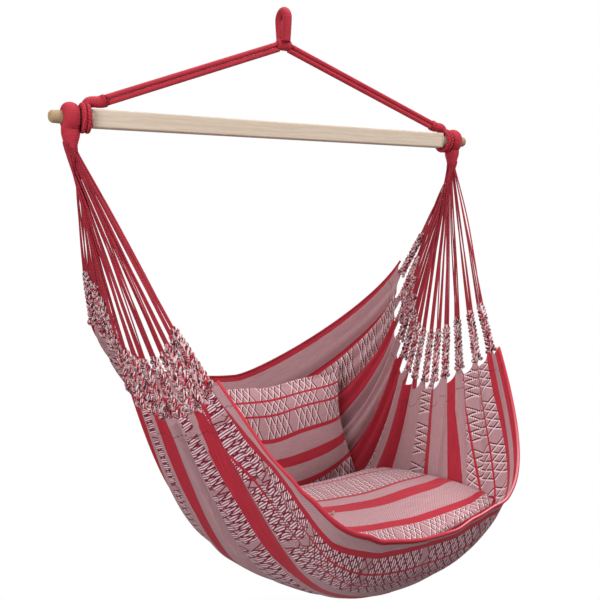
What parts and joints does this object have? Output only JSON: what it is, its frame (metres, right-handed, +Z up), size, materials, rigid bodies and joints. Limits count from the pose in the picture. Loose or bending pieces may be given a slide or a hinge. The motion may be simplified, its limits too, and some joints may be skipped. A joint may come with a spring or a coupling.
{
  "type": "hammock chair",
  "caption": "Hanging chair of striped cloth slung under a wooden spreader bar by fanned strings and plaited cords, with a rope loop on top and two loose cushions.",
  "frame": {"origin": "where the hook bears, at the top of the inside of the hanging loop", "axes": "+Z up; +X along the spreader bar towards the sitter's left; the sitter faces -Y"},
  "size_m": [1.094, 0.8627, 1.3315],
  "materials": {
    "rope": "matte",
    "bar": "satin",
    "cloth": "matte",
    "plait": "matte",
    "cushion_cover": "matte"
  },
  "bodies": {
    "hanger": {"hanging_loop": "rope", "loop_knot": "rope", "rope_left_upper": "rope", "rope_left_lower": "rope", "rope_right_upper": "rope", "rope_right_lower": "rope", "lashing_left": "rope", "lashing_right": "rope", "spreader_bar": "bar"},
    "sling": {"eye_left": "rope", "eye_right": "rope", "harness_left": "rope", "harness_right": "rope", "braid_left_01": "plait", "braid_left_02": "plait", "braid_left_03": "plait", "braid_left_04": "plait", "braid_left_05": "plait", "braid_left_06": "plait", "braid_left_07": "plait", "braid_left_08": "plait", "braid_left_09": "plait", "braid_left_10": "plait", "braid_left_11": "plait", "braid_left_12": "plait", "braid_left_13": "plait", "braid_right_01": "plait", "braid_right_02": "plait", "braid_right_03": "plait", "braid_right_04": "plait", "braid_right_05": "plait", "braid_right_06": "plait", "braid_right_07": "plait", "braid_right_08": "plait", "braid_right_09": "plait", "braid_right_10": "plait", "braid_right_11": "plait", "braid_right_12": "plait", "braid_right_13": "plait", "sling_cloth": "cloth", "front_edge_cord": "rope", "back_edge_cord": "rope"},
    "back_pad": {"back_cushion": "cushion_cover"},
    "seat_pad": {"seat_cushion": "cushion_cover"}
  },
  "joints": [
    {"name": "sling_tilt", "type": "hinge", "parent": "hanger", "child": "sling", "pos_m": [0.012, 0, -0.258], "axis": [1, 0, 0], "range_deg": [-15, 15]},
    {"name": "back_cushion_lift", "type": "slide", "parent": "sling", "child": "back_pad", "axis": [0, 0, 1], "range_m": [0, 0.3]},
    {"name": "seat_cushion_lift", "type": "slide", "parent": "sling", "child": "seat_pad", "axis": [0, 0, 1], "range_m": [0, 0.3]}
  ]
}
